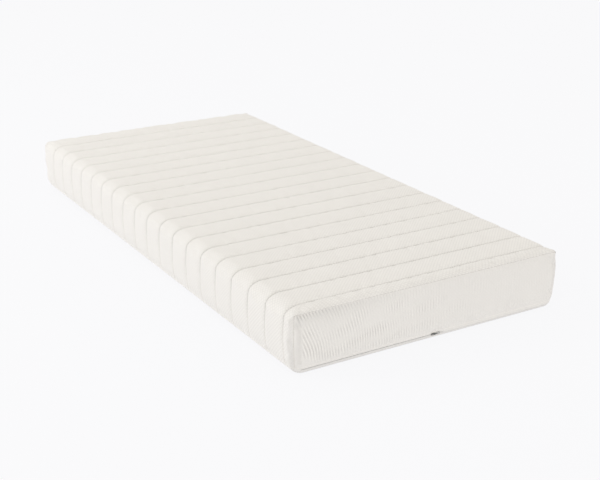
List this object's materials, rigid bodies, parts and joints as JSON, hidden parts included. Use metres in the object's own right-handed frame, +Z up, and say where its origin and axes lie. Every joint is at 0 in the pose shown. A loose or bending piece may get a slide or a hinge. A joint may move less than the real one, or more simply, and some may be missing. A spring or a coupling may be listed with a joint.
{
  "type": "memory foam mattress",
  "caption": "Single memory foam mattress: foam core in a base pan under a zip-off quilted cover with straight quilting lines across it.",
  "frame": {"origin": "middle of the underside, on the surface the mattress lies on", "axes": "+X across the width, +Y along the length towards the head end, +Z up; the zip slider is at the foot end (-Y)"},
  "size_m": [0.901, 1.9034, 0.1825],
  "materials": {
    "ticking": "off-white knitted ticking with a fine waffle relief",
    "base_fabric": "plain off-white warp knit",
    "thread": "off-white polyester thread",
    "zip_tape": "woven polyester tape",
    "zip_coil": "nylon monofilament coil",
    "zip_metal": "black enamelled zinc, worn bright on its edges",
    "support_foam": "open-cell polyurethane foam",
    "memory_foam": "dense slow-recovery foam",
    "sleeve": "thin white stockinette",
    "wadding": "lofted polyester wadding",
    "backing": "spun-bonded non-woven",
    "label": "blank white satin label"
  },
  "bodies": {
    "base": {"base_panel": "base_fabric", "rim_topstitch": "thread", "lower_zip_tape": "zip_tape", "lower_zip_coil": "zip_coil", "lower_zip_stops": "zip_metal"},
    "core": {"support_foam": "support_foam", "memory_foam": "memory_foam", "foam_sleeve": "sleeve", "sleeve_closing_seam": "thread"},
    "hood": {"top_panel": "ticking", "head_end_panel": "ticking", "foot_end_panel": "ticking", "top_wadding": "wadding", "head_end_wadding": "wadding", "foot_end_wadding": "wadding", "quilt_backing": "backing", "quilting_threads": "thread", "corner_seams": "thread", "end_seams": "thread", "hem_topstitch": "thread", "upper_zip_tape": "zip_tape", "upper_zip_coil": "zip_coil", "upper_zip_stops": "zip_metal", "care_label": "label", "label_stitches": "thread"},
    "slider": {"zip_slider": "zip_metal"},
    "pull": {"zip_pull": "zip_metal"}
  },
  "joints": [
    {"name": "core_lift", "type": "slide", "parent": "base", "child": "core", "axis": [0, 0, 1], "range_m": [0, 0.12]},
    {"name": "hood_lift", "type": "slide", "parent": "core", "child": "hood", "axis": [0, 0, 1], "range_m": [0, 0.2]},
    {"name": "zip_slide", "type": "slide", "parent": "base", "child": "slider", "axis": [-1, 0, 0], "range_m": [0, 0.42]},
    {"name": "pull_turn", "type": "hinge", "parent": "slider", "child": "pull", "pos_m": [0, -0.95055, 0.014], "axis": [0, 0, -1], "range_deg": [0, 180]}
  ]
}
